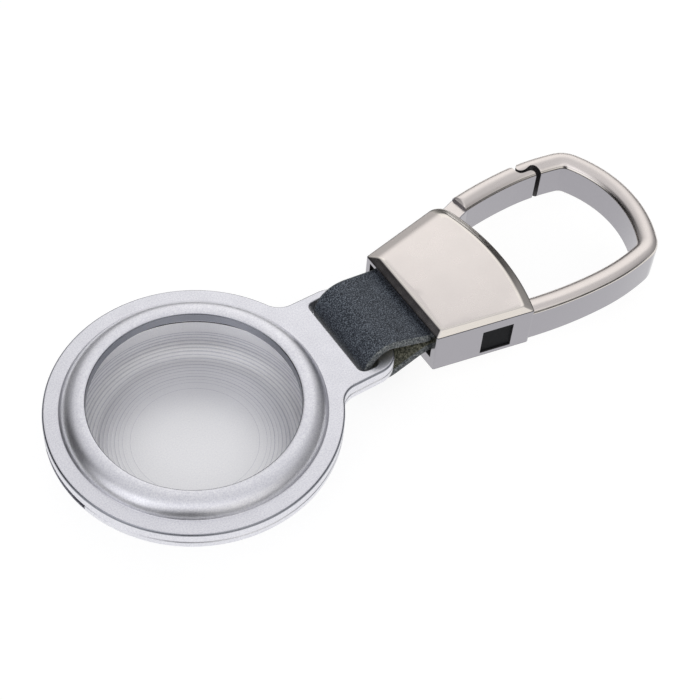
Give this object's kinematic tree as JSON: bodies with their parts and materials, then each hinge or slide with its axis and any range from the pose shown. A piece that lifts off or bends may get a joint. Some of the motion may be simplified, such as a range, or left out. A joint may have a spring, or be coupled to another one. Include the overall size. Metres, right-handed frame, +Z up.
{
  "type": "tracker tag holder",
  "caption": "Holder for a round tracker tag: split metal case with an open window, folded leather strap and a carabiner clasp with a sprung gate.",
  "frame": {"origin": "centre of the case's flat underside", "axes": "+Z up through the case's window, +X from the case's centre towards the hook, +Y towards the side of the gate"},
  "size_m": [0.0945, 0.04, 0.0118],
  "materials": {
    "case_metal": "bead-blasted and anodised, satin",
    "strap_leather": "fine-grained, dark slate grey",
    "clamp_black": "matt black",
    "clasp_metal": "pearl nickel, satin on top and polished at the sides",
    "pin_steel": "plain steel"
  },
  "bodies": {
    "clasp": {"clasp_body": "clasp_metal", "clamp_bar": "clamp_black", "strap_root": "strap_leather", "gate_pin": "pin_steel"},
    "gate": {"gate": "clasp_metal", "gate_spring": "pin_steel"},
    "strap": {"strap_loop": "strap_leather"},
    "case_back": {"back_cover": "case_metal"},
    "case_front": {"front_cover": "case_metal"}
  },
  "joints": [
    {"name": "gate_hinge", "type": "hinge", "parent": "clasp", "child": "gate", "pos_m": [0.04624, 0.00891, 0.0075], "axis": [0, 0, -1], "range_deg": [0, 30], "stiffness_Nm_per_rad": 0.04, "springref_deg": -20.05},
    {"name": "strap_flex", "type": "hinge", "parent": "clasp", "child": "strap", "pos_m": [0.03368, 0, 0.0081], "axis": [0, 1, 0], "range_deg": [-15, 15]},
    {"name": "case_swing", "type": "hinge", "parent": "strap", "child": "case_back", "pos_m": [0.02685, 0, 0.00755], "axis": [0, 1, 0], "range_deg": [-90, 90]},
    {"name": "front_open", "type": "hinge", "parent": "case_back", "child": "case_front", "pos_m": [0.0285, 0, 0.0073], "axis": [0, 1, 0], "range_deg": [0, 18]}
  ]
}
